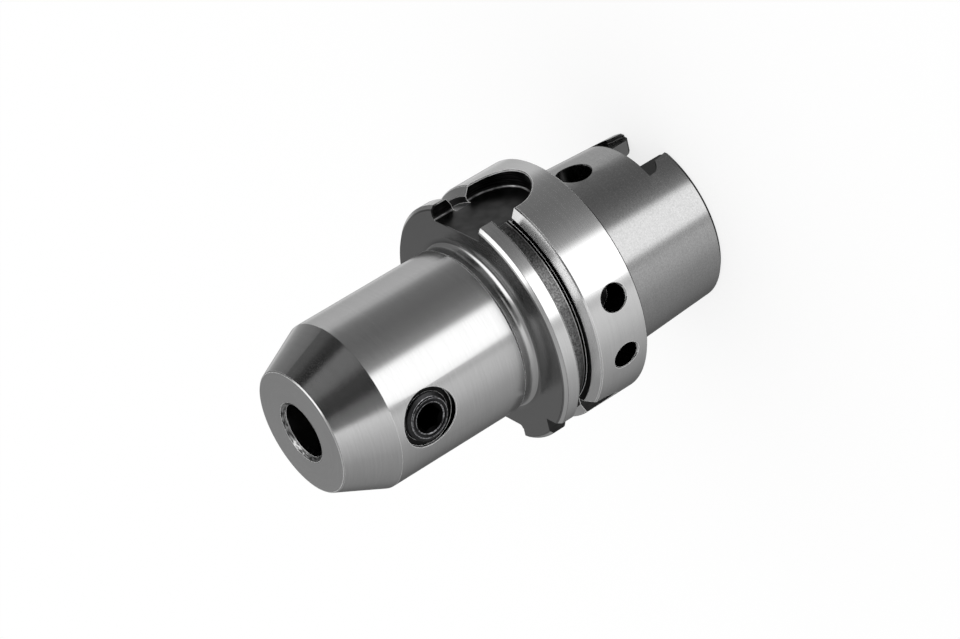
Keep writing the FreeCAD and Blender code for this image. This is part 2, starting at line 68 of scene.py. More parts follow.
camera_data = bpy.data.cameras.new("camera")
camera_data.lens = LENS
camera_data.sensor_width = SENSOR_WIDTH
camera_data.clip_start = NEAR_LIMIT
camera = bpy.data.objects.new("camera", camera_data)
axes = Matrix((camera_right, camera_up, camera_back)).transposed()
camera.matrix_world = Matrix.Translation(camera_place) @ axes.to_4x4()
bpy.context.scene.collection.objects.link(camera)
bpy.context.scene.camera = camera
bpy.context.scene.view_settings.view_transform = "Standard"


# Studio. Everything stands in plain white light of level 1. Bright steel shows only what stands round it,
# so its reflections also find white, grey and black cards there, in a lower ring that the upright walls
# mirror, an upper ring that the cone and the faces mirror, and a roof that the front chamfer mirrors.
PLAIN_LEVEL = 1.0
WHITE_CARD = 1.8
BLACK_CARD = 0.012

# Azimuth in degrees and level. Between two stops the cards shade evenly from one to the other.
lower_ring = (
    (-180, 0.29),
    (-163, 0.37),
    (-139, 0.48),
    (-115, 0.72),
    (-98, 0.80),
    (-91, 0.58),
    (-85, 0.64),
    (-81, WHITE_CARD),
    (-42, WHITE_CARD),
    (-35, 0.40),
    (-14, 0.22),
    (5, 0.18),
    (30, 0.22),
    (40, 0.32),
    (50, 0.67),
    (95, 0.51),
    (107, 0.80),
    (116, 0.32),
    (128, 0.18),
    (140, 0.13),
    (150, 0.13),
    (162, 0.19),
    (180, 0.29),
)
upper_ring = (
    (-180, 0.32),
    (-145, 0.42),
    (-112, 0.69),
    (-86, 1.00),
    (-81, 0.22),
    (-62, 0.16),
    (-54, BLACK_CARD),
    (-30, BLACK_CARD),
    (-18, 0.16),
    (8, 0.21),
    (13, BLACK_CARD),
    (28, 0.04),
    (36, 0.10),
    (50, 0.12),
    (60, 0.22),
    (95, 0.18),
    (130, 0.34),
    (155, 0.29),
    (180, 0.32),
)
roof = (
    (-180, 0.44),
    (-90, 0.38),
    (-60, 0.42),
    (-46, 0.64),
    (-38, WHITE_CARD),
    (48, WHITE_CARD),
    (70, 0.72),
    (180, 0.44),
)


def add(tree, kind, inputs=None, **settings):
    """Adds a node with its settings. An input, by name or number, gets a value, a socket or a node."""
    node = tree.nodes.new(kind)
    for name, value in settings.items():
        setattr(node, name, value)
    for name, value in (inputs or {}).items():
        if isinstance(value, bpy.types.Node):
            value = value.outputs[0]
        if isinstance(value, bpy.types.NodeSocket):
            tree.links.new(value, node.inputs[name])
        else:
            node.inputs[name].default_value = value
    return node


def linear(hex_colour):
    """A colour written as sRGB hex, as linear red, green, blue and alpha."""
    channels = [int(hex_colour[i:i + 2], 16) / 255 for i in (1, 3, 5)]
    return [c / 12.92 if c <= 0.04045 else ((c + 0.055) / 1.055) ** 2.4 for c in channels] + [1.0]


world = bpy.data.worlds.new("studio")
bpy.context.scene.world = world
world.use_nodes = True
tree = world.node_tree
tree.nodes.clear()
direction = add(tree, "ShaderNodeTexCoord").outputs["Generated"]
heading = add(tree, "ShaderNodeTexGradient", {"Vector": direction}, gradient_type="RADIAL")
height = add(tree, "ShaderNodeSeparateXYZ", {0: direction}).outputs["Z"]
cards = BLACK_CARD / WHITE_CARD

# Each set of cards takes over from what is under it between two heights, as sines of the elevation.
card_sets = (
    (lower_ring, -0.90, -0.76),
    (upper_ring, -0.30, 0.05),
    (roof, 0.62, 0.74),
)
for stops, fade_start, fade_end in card_sets:
    ramp = add(tree, "ShaderNodeValToRGB", {"Fac": heading.outputs["Fac"]})
    elements = ramp.color_ramp.elements
    for azimuth, level in stops:
        if azimuth == -180:
            element = elements[0]
        elif azimuth == 180:
            element = elements[len(elements) - 1]
        else:
            element = elements.new((azimuth + 180) / 360)
        share = level / WHITE_CARD
        element.color = (share, share, share, 1)
    above = add(
        tree,
        "ShaderNodeMapRange",
        {"Value": height, "From Min": fade_start, "From Max": fade_end},
        interpolation_type="SMOOTHSTEP",
    )
    cards = add(tree, "ShaderNodeMix", {"Factor": above, "A": cards, "B": ramp})

card_level = add(tree, "ShaderNodeMath", {0: cards, 1: WHITE_CARD}, operation="MULTIPLY")
mirrored = add(tree, "ShaderNodeLightPath").outputs["Is Glossy Ray"]
level = add(tree, "ShaderNodeMix", {"Factor": mirrored, "A": PLAIN_LEVEL, "B": card_level})
background = add(tree, "ShaderNodeBackground", {"Color": linear("#FFFFFF"), "Strength": level})
add(tree, "ShaderNodeOutputWorld", {"Surface": background})
world.cycles.sampling_method = "NONE"


# Floor. White paper under the shank end. It keeps the holder's shadow and stays out of the steel's
# reflections, which find the cards behind it. The camera sees it mostly by its own glow, as white as
# paper in full light, so the shadow stays faint.
MM = 0.001
FLOOR_SIZE = 6.0
FLOOR_GAP = 0.02 * MM
SHADOW_SHARE = 0.2
PAPER_GLOW = 1.0
floor_level = cad_box[0][2] - FLOOR_GAP
floor_half = FLOOR_SIZE / 2
corners = [
    (-floor_half, -floor_half, floor_level),
    (floor_half, -floor_half, floor_level),
    (floor_half, floor_half, floor_level),
    (-floor_half, floor_half, floor_level),
]
floor_mesh = bpy.data.meshes.new("floor")
floor_mesh.from_pydata(corners, [], [(0, 1, 2, 3)])
floor = bpy.data.objects.new("floor", floor_mesh)
bpy.context.scene.collection.objects.link(floor)

paper = bpy.data.materials.new("white_paper_sweep")
paper.use_nodes = True
tree = paper.node_tree
tree.nodes.clear()
path = add(tree, "ShaderNodeLightPath")
shaded = add(tree, "ShaderNodeBsdfDiffuse", {"Color": linear("#FFFFFF")})
white = add(tree, "ShaderNodeEmission", {"Color": linear("#FFFFFF"), "Strength": PAPER_GLOW})
seen = add(tree, "ShaderNodeMixShader", {0: SHADOW_SHARE, 1: white, 2: shaded})
plain = add(tree, "ShaderNodeMixShader", {0: path.outputs["Is Camera Ray"], 1: shaded, 2: seen})
clear = add(tree, "ShaderNodeBsdfTransparent")
sheet = add(tree, "ShaderNodeMixShader", {0: path.outputs["Is Glossy Ray"], 1: plain, 2: clear})
add(tree, "ShaderNodeOutputMaterial", {"Surface": sheet})
floor_mesh.materials.append(paper)


# Holder body. One piece of case-hardened steel: turned, milled and hardened, then ground on its nose, rims,
# faces and taper. The bores, slots and keyways keep the dark skin of the heat treatment.
NOSE_RADIUS = 22.0
NOSE_CONE_START = 67.3
NOSE_CONE_SLOPE = 0.476
NOSE_FACE = 80.0
NOSE_FACE_DEPTH = 0.9
NECK_START = 26.0
NECK_END = 31.0
NECK_RADIUS = 20.6
FLANGE_RADIUS = 31.5
FLANGE_CHAMFER_START = 25.0
GROOVE_CENTRE = 18.0
GROOVE_HALF_MOUTH = 3.8
GROOVE_FLANK_BOTTOM = 29.25
GROOVE_BOTTOM = 27.5
GROOVE_HALF_SLOT = 2.2
GROOVE_LINE = 16.65
TAPER_RADIUS_AT_GAUGE = 24.32
TAPER_SLOPE = 0.0501
SHANK_END = -32.0
GROUND_DEPTH = 0.35
SKIN_FADE = 0.08
GAUGE_STEP = 0.2
FACE_REACH = 0.15
NECK_REACH = 0.2
BORE_REACH = 0.1
BORE_RADIUS = 7.0
BORE_MOUTH_RADIUS = 8.1
KEYWAY_SIDE = 26.0
DRIVE_SLOT_FLOOR = -23.0

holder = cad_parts["holder_body"]
ground = bpy.data.materials.new("ground_hardened_steel")
ground.use_nodes = True
tree = ground.node_tree
tree.nodes.clear()
place = add(tree, "ShaderNodeTexCoord").outputs["Object"]
in_mm = add(tree, "ShaderNodeVectorMath", {0: place, "Scale": 1 / MM}, operation="SCALE")
height = add(tree, "ShaderNodeSeparateXYZ", {0: in_mm}).outputs["Z"]
flat_part = add(tree, "ShaderNodeVectorMath", {0: in_mm, 1: (1, 1, 0)}, operation="MULTIPLY")
radius = add(tree, "ShaderNodeVectorMath", {0: flat_part}, operation="LENGTH").outputs["Value"]
outward = add(tree, "ShaderNodeVectorMath", {0: flat_part}, operation="NORMALIZE")
facing = add(tree, "ShaderNodeNewGeometry").outputs["Normal"]

# Radius of the ground outside at each height: nose and cone, flange rim with its front chamfer, the groove
# down to the foot of its flanks, and the taper.
cone_at_axis = NOSE_RADIUS + NOSE_CONE_START * NOSE_CONE_SLOPE
cone = add(
    tree,
    "ShaderNodeMath",
    {0: height, 1: -NOSE_CONE_SLOPE, 2: cone_at_axis},
    operation="MULTIPLY_ADD",
)
nose = add(tree, "ShaderNodeMath", {0: cone, 1: NOSE_RADIUS}, operation="MINIMUM")
chamfer = add(
    tree,
    "ShaderNodeMath",
    {0: FLANGE_RADIUS + FLANGE_CHAMFER_START, 1: height},
    operation="SUBTRACT",
)
rim = add(tree, "ShaderNodeMath", {0: chamfer, 1: FLANGE_RADIUS}, operation="MINIMUM")
in_groove = add(
    tree,
    "ShaderNodeMath",
    {0: height, 1: GROOVE_CENTRE, 2: GROOVE_HALF_MOUTH},
    operation="COMPARE",
)
flange = add(
    tree,
    "ShaderNodeMix",
    {"Factor": in_groove, "A": rim, "B": GROOVE_FLANK_BOTTOM + GROUND_DEPTH},
)
taper = add(
    tree, "ShaderNodeMath", {0: height, 1: TAPER_SLOPE, 2: TAPER_RADIUS_AT_GAUGE}, operation="MULTIPLY_ADD"
)
past_gauge = add(tree, "ShaderNodeMath", {0: height, 1: GAUGE_STEP}, operation="GREATER_THAN")
past_flange = add(tree, "ShaderNodeMath", {0: height, 1: NECK_START}, operation="GREATER_THAN")
rear = add(tree, "ShaderNodeMix", {"Factor": past_gauge, "A": taper, "B": flange})
outside = add(tree, "ShaderNodeMix", {"Factor": past_flange, "A": rear, "B": nose})
depth = add(tree, "ShaderNodeMath", {0: outside, 1: radius}, operation="SUBTRACT")
inside = add(
    tree,
    "ShaderNodeMapRange",
    {"Value": depth, "From Min": GROUND_DEPTH - SKIN_FADE, "From Max": GROUND_DEPTH + SKIN_FADE},
)

# The faces square to the axis and the neck are ground too.
at_nose_face = add(
    tree,
    "ShaderNodeMath",
    {0: height, 1: NOSE_FACE, 2: NOSE_FACE_DEPTH},
    operation="COMPARE",
)
neck_middle = (NECK_START + NECK_END) / 2
neck_half = (NECK_END - NECK_START) / 2 + NECK_REACH
in_neck = add(tree, "ShaderNodeMath", {0: height, 1: neck_middle, 2: neck_half}, operation="COMPARE")
off_bore = add(tree, "ShaderNodeMath", {0: radius, 1: NECK_RADIUS}, operation="GREATER_THAN")
on_neck = add(tree, "ShaderNodeMath", {0: in_neck, 1: off_bore}, operation="MULTIPLY")
at_gauge_face = add(tree, "ShaderNodeMath", {0: height, 1: 0.0, 2: FACE_REACH}, operation="COMPARE")
at_shank_end = add(tree, "ShaderNodeMath", {0: height, 1: SHANK_END, 2: FACE_REACH}, operation="COMPARE")
faces = add(tree, "ShaderNodeMath", {0: at_nose_face, 1: on_neck}, operation="ADD")
faces = add(tree, "ShaderNodeMath", {0: faces, 1: at_gauge_face}, operation="ADD")
faces = add(tree, "ShaderNodeMath", {0: faces, 1: at_shank_end}, operation="ADD")
off_faces = add(tree, "ShaderNodeMath", {0: faces, 1: 0.5}, operation="LESS_THAN")
skin = add(tree, "ShaderNodeMath", {0: inside, 1: off_faces}, operation="MULTIPLY")

# The tool bore is honed to size, so it has lost its skin as well.
in_bore = add(tree, "ShaderNodeMath", {0: radius, 1: BORE_RADIUS + BORE_REACH}, operation="LESS_THAN")
in_nose = add(tree, "ShaderNodeMath", {0: height, 1: NECK_END}, operation="GREATER_THAN")
honed = add(tree, "ShaderNodeMath", {0: in_bore, 1: in_nose}, operation="MULTIPLY")
skin = add(tree, "ShaderNodeMath", {0: skin, 1: honed}, operation="SUBTRACT", use_clamp=True)

# Ground surfaces all run round the axis. A wall that runs along it was cut, as in the orientation notch.
CUT_TURN = 0.3
onward = add(tree, "ShaderNodeVectorMath", {0: (0, 0, 1), 1: outward}, operation="CROSS_PRODUCT")
sideways = add(
    tree,
    "ShaderNodeVectorMath",
    {0: facing, 1: onward},
    operation="DOT_PRODUCT",
).outputs["Value"]
sideways = add(tree, "ShaderNodeMath", {0: sideways}, operation="ABSOLUTE")
cut = add(tree, "ShaderNodeMath", {0: sideways, 1: CUT_TURN}, operation="GREATER_THAN")
skin = add(tree, "ShaderNodeMath", {0: skin, 1: cut}, operation="MAXIMUM")

# Every edge was broken with a stone after grinding. A thin line is painted along it: a painted highlight on
# the nose, the rear band and the openings, and painted shade on the front band, the shank, the shank end's
# rim and one side of the cone's back edge.
EDGE_WIDTH = 0.25
EDGE_START = 0.996
EDGE_FULL = 0.95
EDGE_PAINTED_SHADE_TONE = 0.25
SHANK_TOP = 0.45
FRONT_BAND_MIDDLE = 23.9
FRONT_BAND_HALF = 2.4
CONE_EDGE_HALF = 0.5
CONE_SIDE = (0.82, -0.57, 0.0)
CONE_SIDE_REACH = 0.8
SHANK_RIM = 0.9
smoothed = add(tree, "ShaderNodeBevel", {"Radius": EDGE_WIDTH * MM}, samples=6)
same_way = add(
    tree,
    "ShaderNodeVectorMath",
    {0: smoothed, 1: facing},
    operation="DOT_PRODUCT",
).outputs["Value"]
edge = add(tree, "ShaderNodeMapRange", {"Value": same_way, "From Min": EDGE_START, "From Max": EDGE_FULL})
front_band = add(
    tree, "ShaderNodeMath", {0: height, 1: FRONT_BAND_MIDDLE, 2: FRONT_BAND_HALF}, operation="COMPARE"
)
on_shank = add(tree, "ShaderNodeMath", {0: height, 1: SHANK_TOP}, operation="LESS_THAN")
cone_back = add(
    tree,
    "ShaderNodeMath",
    {0: height, 1: NOSE_CONE_START, 2: CONE_EDGE_HALF},
    operation="COMPARE",
)
one_side = add(
    tree,
    "ShaderNodeVectorMath",
    {0: outward, 1: CONE_SIDE},
    operation="DOT_PRODUCT",
).outputs["Value"]
one_side = add(tree, "ShaderNodeMath", {0: one_side, 1: CONE_SIDE_REACH}, operation="GREATER_THAN")
cone_back = add(tree, "ShaderNodeMath", {0: cone_back, 1: one_side}, operation="MULTIPLY")
dark_zone = add(tree, "ShaderNodeMath", {0: front_band, 1: on_shank}, operation="ADD")
dark_zone = add(tree, "ShaderNodeMath", {0: dark_zone, 1: cone_back}, operation="ADD", use_clamp=True)
painted_edge_shade = add(tree, "ShaderNodeMath", {0: edge, 1: dark_zone}, operation="MULTIPLY")
at_end = add(tree, "ShaderNodeMath", {0: height, 1: SHANK_END + SHANK_RIM}, operation="LESS_THAN")
at_outside = add(tree, "ShaderNodeMath", {0: depth, 1: SHANK_RIM + GROUND_DEPTH}, operation="LESS_THAN")
shank_rim = add(tree, "ShaderNodeMath", {0: at_end, 1: at_outside}, operation="MULTIPLY")
painted_edge_shade = add(tree, "ShaderNodeMath", {0: painted_edge_shade, 1: shank_rim}, operation="MAXIMUM")
painted_edge_highlight = add(tree, "ShaderNodeMath", {0: edge, 1: painted_edge_shade}, operation="SUBTRACT", use_clamp=True)

# Marks of the grinding wheel and the turning tool: fine lines round the axis, each a few millimetres long.
# Real ones are ten times finer, too fine to show here.
MARK_SPACING = 0.4
MARK_LENGTH = 8.0
MARK_SHADE = 0.03
MARK_DEPTH = 0.0004
NOISE_LOW = 0.3
NOISE_HIGH = 0.7
along = add(tree, "ShaderNodeMath", {0: height, 1: MARK_SPACING}, operation="DIVIDE")
across = add(tree, "ShaderNodeMath", {0: radius, 1: MARK_SPACING}, operation="DIVIDE")
turned = add(
    tree,
    "ShaderNodeVectorMath",
    {0: outward, "Scale": NOSE_RADIUS / MARK_LENGTH},
    operation="SCALE",
)
turn = add(tree, "ShaderNodeSeparateXYZ", {0: turned})
mark_place = add(tree, "ShaderNodeCombineXYZ", {"X": along, "Y": across, "Z": turn.outputs["X"]})
marks = add(
    tree,
    "ShaderNodeTexNoise",
    {"Vector": mark_place, "W": turn.outputs["Y"], "Scale": 1.0, "Detail": 2.0, "Roughness": 0.5},
    noise_dimensions="4D",
)
mark_tone = add(
    tree,
    "ShaderNodeMapRange",
    {
        "Value": marks,
        "From Min": NOISE_LOW,
        "From Max": NOISE_HIGH,
        "To Min": 1 - MARK_SHADE,
        "To Max": 1 + MARK_SHADE,
    },
)

# The countersink chattered round the mouth of the bore and left short streaks.
STREAK_LENGTH = 1.6
STREAK_WIDTH = 0.35
STREAK_TONES = (0.10, 0.80)
streak_turn = add(
    tree,
    "ShaderNodeVectorMath",
    {0: outward, "Scale": BORE_MOUTH_RADIUS / STREAK_LENGTH},
    operation="SCALE",
)
streak_parts = add(tree, "ShaderNodeSeparateXYZ", {0: streak_turn})
streak_across = add(tree, "ShaderNodeMath", {0: radius, 1: STREAK_WIDTH}, operation="DIVIDE")
chatter_place = add(
    tree,
    "ShaderNodeCombineXYZ",
    {"X": streak_parts.outputs["X"], "Y": streak_parts.outputs["Y"], "Z": streak_across},
)
chatter = add(
    tree,
    "ShaderNodeTexNoise",
    {"Vector": chatter_place, "Scale": 1.0, "Detail": 2.0, "Roughness": 0.6},
)
chatter_tone = add(
    tree,
    "ShaderNodeMapRange",
    {
        "Value": chatter,
        "From Min": 0.40,
        "From Max": 0.62,
        "To Min": STREAK_TONES[0],
        "To Max": STREAK_TONES[1],
    },
)
near_axis = add(tree, "ShaderNodeMath", {0: radius, 1: BORE_MOUTH_RADIUS}, operation="LESS_THAN")
in_mouth = add(tree, "ShaderNodeMath", {0: near_axis, 1: at_nose_face}, operation="MULTIPLY")
ground_tone = add(tree, "ShaderNodeMix", {"Factor": in_mouth, "A": mark_tone, "B": chatter_tone})

# Light hardly gets into the bore, so its honed wall is darkened with painted shade.
BORE_PAINTED_SHADE_TONE = 0.45
ground_tone = add(tree, "ShaderNodeMix", {"Factor": honed, "A": ground_tone, "B": BORE_PAINTED_SHADE_TONE})
# Painted shade: the dark edge lines darken the ground colour.
edge_shade = add(tree, "ShaderNodeMapRange", {"Value": painted_edge_shade, "To Min": 1.0, "To Max": EDGE_PAINTED_SHADE_TONE})
ground_tone = add(tree, "ShaderNodeMath", {0: ground_tone, 1: edge_shade}, operation="MULTIPLY")

# The flange is made brighter than the nose, and the taper duller and finely speckled. The flange's front
# face is darkened with painted shade.
FLANGE_TONE = 1.22
FRONT_FACE_PAINTED_SHADE = 0.42
FRONT_FACE_REACH = 0.3
TAPER_TONES = (0.64, 0.80)
GROUND_STEEL = "#CACACA"
GRAIN_SIZE = 0.4
grain = add(
    tree, "ShaderNodeTexNoise", {"Vector": in_mm, "Scale": 1 / GRAIN_SIZE, "Detail": 2.0, "Roughness": 0.6}
)
speckle = add(
    tree,
    "ShaderNodeMapRange",
    {
        "Value": grain,
        "From Min": NOISE_LOW,
        "From Max": NOISE_HIGH,
        "To Min": TAPER_TONES[0],
        "To Max": TAPER_TONES[1],
    },
)
zone_tone = add(tree, "ShaderNodeMix", {"Factor": past_gauge, "A": speckle, "B": FLANGE_TONE})
zone_tone = add(tree, "ShaderNodeMix", {"Factor": past_flange, "A": zone_tone, "B": 1.0})
at_front_face = add(
    tree,
    "ShaderNodeMath",
    {0: height, 1: NECK_START, 2: FRONT_FACE_REACH},
    operation="COMPARE",
)
zone_tone = add(tree, "ShaderNodeMix", {"Factor": at_front_face, "A": zone_tone, "B": FRONT_FACE_PAINTED_SHADE})
ground_tone = add(tree, "ShaderNodeMath", {0: ground_tone, 1: zone_tone}, operation="MULTIPLY")
ground_colour = add(
    tree, "ShaderNodeVectorMath", {0: linear(GROUND_STEEL)[:3], "Scale": ground_tone}, operation="SCALE"
)

# Skin: dark grey on floors, mottled by the heat. The walls outside the shank, where the cutter left streaks
# along them, are darkened to near black with painted shade; those in the shank take an even tone.
SKIN = "#3E3E3E"
MOTTLE_SIZE = 3.0
STREAKS_PER_MM = (3.0, 0.2, 0.2)
WALL_PAINTED_SHADE_TONES = (0.15, 0.75)
SHANK_WALL_TONE = 1.4
FLOOR_TONES = (0.70, 1.30)
FLOOR_START = 0.35
FLOOR_FULL = 0.92
mottle = add(tree, "ShaderNodeTexNoise", {"Vector": in_mm, "Scale": 1 / MOTTLE_SIZE, "Detail": 1.0})
streak_place = add(tree, "ShaderNodeVectorMath", {0: in_mm, 1: STREAKS_PER_MM}, operation="MULTIPLY")
streaks = add(tree, "ShaderNodeTexNoise", {"Vector": streak_place, "Scale": 1.0, "Detail": 2.0})
up_floor = add(
    tree,
    "ShaderNodeVectorMath",
    {0: facing, 1: outward},
    operation="DOT_PRODUCT",
).outputs["Value"]
on_floor = add(
    tree,
    "ShaderNodeMapRange",
    {"Value": up_floor, "From Min": FLOOR_START, "From Max": FLOOR_FULL},
)
wall_shade_tone = add(
    tree,
    "ShaderNodeMapRange",
    {
        "Value": streaks,
        "From Min": 0.42,
        "From Max": 0.66,
        "To Min": WALL_PAINTED_SHADE_TONES[0],
        "To Max": WALL_PAINTED_SHADE_TONES[1],
    },
)
wall_shade_tone = add(tree, "ShaderNodeMix", {"Factor": on_shank, "A": wall_shade_tone, "B": SHANK_WALL_TONE})
floor_tone = add(
    tree,
    "ShaderNodeMapRange",
    {
        "Value": mottle,
        "From Min": NOISE_LOW,
        "From Max": NOISE_HIGH,
        "To Min": FLOOR_TONES[0],
        "To Max": FLOOR_TONES[1],
    },
)
skin_tone = add(tree, "ShaderNodeMix", {"Factor": on_floor, "A": wall_shade_tone, "B": floor_tone})

# Painted highlight: the corner between them, in the keyways and the counterbore, is brightened in glinting
# patches.
CORNER_PAINTED_HIGHLIGHT_TONES = (9.0, 44.0)
side = add(tree, "ShaderNodeSeparateXYZ", {0: in_mm}).outputs["X"]
side = add(tree, "ShaderNodeMath", {0: side}, operation="ABSOLUTE")
in_keyway = add(tree, "ShaderNodeMath", {0: side, 1: KEYWAY_SIDE}, operation="GREATER_THAN")
milled = add(tree, "ShaderNodeMath", {0: in_keyway, 1: in_nose}, operation="MAXIMUM")
off_floor = add(tree, "ShaderNodeMath", {0: 1.0, 1: on_floor}, operation="SUBTRACT")
in_corner = add(tree, "ShaderNodeMath", {0: on_floor, 1: off_floor}, operation="MULTIPLY")
in_corner = add(tree, "ShaderNodeMath", {0: in_corner, 1: milled}, operation="MULTIPLY")
painted_glint = add(
    tree,
    "ShaderNodeMapRange",
    {
        "Value": mottle,
        "From Min": 0.42,
        "From Max": 0.58,
        "To Min": CORNER_PAINTED_HIGHLIGHT_TONES[0],
        "To Max": CORNER_PAINTED_HIGHLIGHT_TONES[1],
    },
)
corner_highlight = add(tree, "ShaderNodeMath", {0: in_corner, 1: painted_glint}, operation="MULTIPLY")
skin_tone = add(tree, "ShaderNodeMath", {0: skin_tone, 1: corner_highlight}, operation="ADD")

# The cheeks of the drive slots get a painted highlight, and the flats beside them painted shade.
CHEEK_TURN = 0.8
CHEEK_PAINTED_HIGHLIGHT = 4.0
FLAT_PAINTED_SHADE = 0.45
at_drive_slot = add(tree, "ShaderNodeMath", {0: height, 1: DRIVE_SLOT_FLOOR}, operation="LESS_THAN")
beside_slot = add(tree, "ShaderNodeMath", {0: cut, 1: at_drive_slot}, operation="MULTIPLY")
on_cheek = add(tree, "ShaderNodeMath", {0: sideways, 1: CHEEK_TURN}, operation="GREATER_THAN")
cheek_light_and_shade = add(tree, "ShaderNodeMix", {"Factor": on_cheek, "A": FLAT_PAINTED_SHADE, "B": CHEEK_PAINTED_HIGHLIGHT})
skin_tone = add(tree, "ShaderNodeMix", {"Factor": beside_slot, "A": skin_tone, "B": cheek_light_and_shade})

# The clamp screw's counterbore is small; the skin on the nose is darkened below the keyways' tone with
# painted shade.
NOSE_PAINTED_SHADE_TONE = 0.3
nose_shade = add(tree, "ShaderNodeMix", {"Factor": in_nose, "A": 1.0, "B": NOSE_PAINTED_SHADE_TONE})
skin_tone = add(tree, "ShaderNodeMath", {0: skin_tone, 1: nose_shade}, operation="MULTIPLY")

# The floor of the gripper groove was turned after hardening. It is lighter and speckled up to a painted
# highlight line. Behind that line the floor, and the groove's square walls, are made black with painted
# shadow.
SLOT_FLOOR_REACH = 0.12
SLOT_FLOOR_LEVEL = 0.985
SLOT_LINE_HALF = 0.13
SLOT_TONES = (1.4, 5.2)
SLOT_PAINTED_SHADOW = 0.08
SLOT_PAINTED_HIGHLIGHT = 16.0
SQUARE_TURN = 0.9
at_slot = add(
    tree,
    "ShaderNodeMath",
    {0: height, 1: GROOVE_CENTRE, 2: GROOVE_HALF_SLOT},
    operation="COMPARE",
)
at_slot_floor = add(
    tree,
    "ShaderNodeMath",
    {0: radius, 1: GROOVE_BOTTOM, 2: SLOT_FLOOR_REACH},
    operation="COMPARE",
)
level_floor = add(tree, "ShaderNodeMath", {0: up_floor, 1: SLOT_FLOOR_LEVEL}, operation="GREATER_THAN")
past_line = add(tree, "ShaderNodeMath", {0: height, 1: GROOVE_LINE}, operation="GREATER_THAN")
on_line = add(tree, "ShaderNodeMath", {0: height, 1: GROOVE_LINE, 2: SLOT_LINE_HALF}, operation="COMPARE")
slot_tone = add(
    tree,
    "ShaderNodeMapRange",
    {"Value": grain, "From Min": 0.35, "From Max": 0.65, "To Min": SLOT_TONES[0], "To Max": SLOT_TONES[1]},
)
slot_tone = add(tree, "ShaderNodeMix", {"Factor": past_line, "A": SLOT_PAINTED_SHADOW, "B": slot_tone})
slot_tone = add(tree, "ShaderNodeMix", {"Factor": on_line, "A": slot_tone, "B": SLOT_PAINTED_HIGHLIGHT})
in_slot = add(tree, "ShaderNodeMath", {0: at_slot, 1: at_slot_floor}, operation="MULTIPLY")
in_slot = add(tree, "ShaderNodeMath", {0: in_slot, 1: level_floor}, operation="MULTIPLY")
# Painted shadow: the groove's square walls are made black.
square = add(tree, "ShaderNodeSeparateXYZ", {0: facing}).outputs["Z"]
square = add(tree, "ShaderNodeMath", {0: square}, operation="ABSOLUTE")
square = add(tree, "ShaderNodeMath", {0: square, 1: SQUARE_TURN}, operation="GREATER_THAN")
slot_wall = add(tree, "ShaderNodeMath", {0: at_slot, 1: square}, operation="MULTIPLY")
skin_tone = add(tree, "ShaderNodeMix", {"Factor": slot_wall, "A": skin_tone, "B": SLOT_PAINTED_SHADOW})
skin_tone = add(tree, "ShaderNodeMix", {"Factor": in_slot, "A": skin_tone, "B": slot_tone})
skin_colour = add(
    tree,
    "ShaderNodeVectorMath",
    {0: linear(SKIN)[:3], "Scale": skin_tone},
    operation="SCALE",
)

# A ground face is a smooth mirror drawn out across its marks, and the skin is satin. The edges get a
# painted highlight: a near-white colour, rougher and only partly metal.
GROUND_ROUGHNESS = 0.21
SKIN_ROUGHNESS = 0.32
ROUGHNESS_SPREAD = 0.02
EDGE_HIGHLIGHT_COLOUR = "#F2F2F2"
EDGE_ROUGHNESS = 0.5
EDGE_METAL = 0.3
MARK_STRETCH = 0.5
QUARTER_TURN = 0.25
surface = add(
    tree, "ShaderNodeMix", {"Factor": skin, "A": ground_colour, "B": skin_colour}, data_type="RGBA"
).outputs["Result"]
# Painted highlight: near-white on the bright edge lines.
colour = add(
    tree, "ShaderNodeMix", {"Factor": painted_edge_highlight, "A": surface, "B": linear(EDGE_HIGHLIGHT_COLOUR)}, data_type="RGBA"
).outputs["Result"]
roughness = add(
    tree,
    "ShaderNodeMapRange",
    {"Value": skin, "To Min": GROUND_ROUGHNESS, "To Max": SKIN_ROUGHNESS},
)
uneven = add(
    tree,
    "ShaderNodeMapRange",
    {"Value": marks, "To Min": -ROUGHNESS_SPREAD, "To Max": ROUGHNESS_SPREAD},
)
roughness = add(tree, "ShaderNodeMath", {0: roughness, 1: uneven}, operation="ADD")
roughness = add(tree, "ShaderNodeMix", {"Factor": painted_edge_highlight, "A": roughness, "B": EDGE_ROUGHNESS})
metallic = add(tree, "ShaderNodeMapRange", {"Value": painted_edge_highlight, "To Min": 1.0, "To Max": EDGE_METAL})
relief = add(tree, "ShaderNodeMix", {"Factor": skin, "A": marks, "B": grain})
rounded = add(
    tree, "ShaderNodeMix", {"Factor": edge, "A": facing, "B": smoothed.outputs[0]}, data_type="VECTOR"
).outputs["Result"]
bump = add(tree, "ShaderNodeBump", {"Distance": MARK_DEPTH * MM, "Height": relief, "Normal": rounded})
round_axis = add(tree, "ShaderNodeTangent", direction_type="RADIAL", axis="Z")
steel = add(
    tree,
    "ShaderNodeBsdfPrincipled",
    {
        "Base Color": colour,
        "Metallic": metallic,
        "Roughness": roughness,
        "Anisotropic": MARK_STRETCH,
        "Anisotropic Rotation": QUARTER_TURN,
        "Tangent": round_axis,
        "Normal": bump,
    },
)
add(tree, "ShaderNodeOutputMaterial", {"Surface": steel})
holder.data.materials.clear()
holder.data.materials.append(ground)


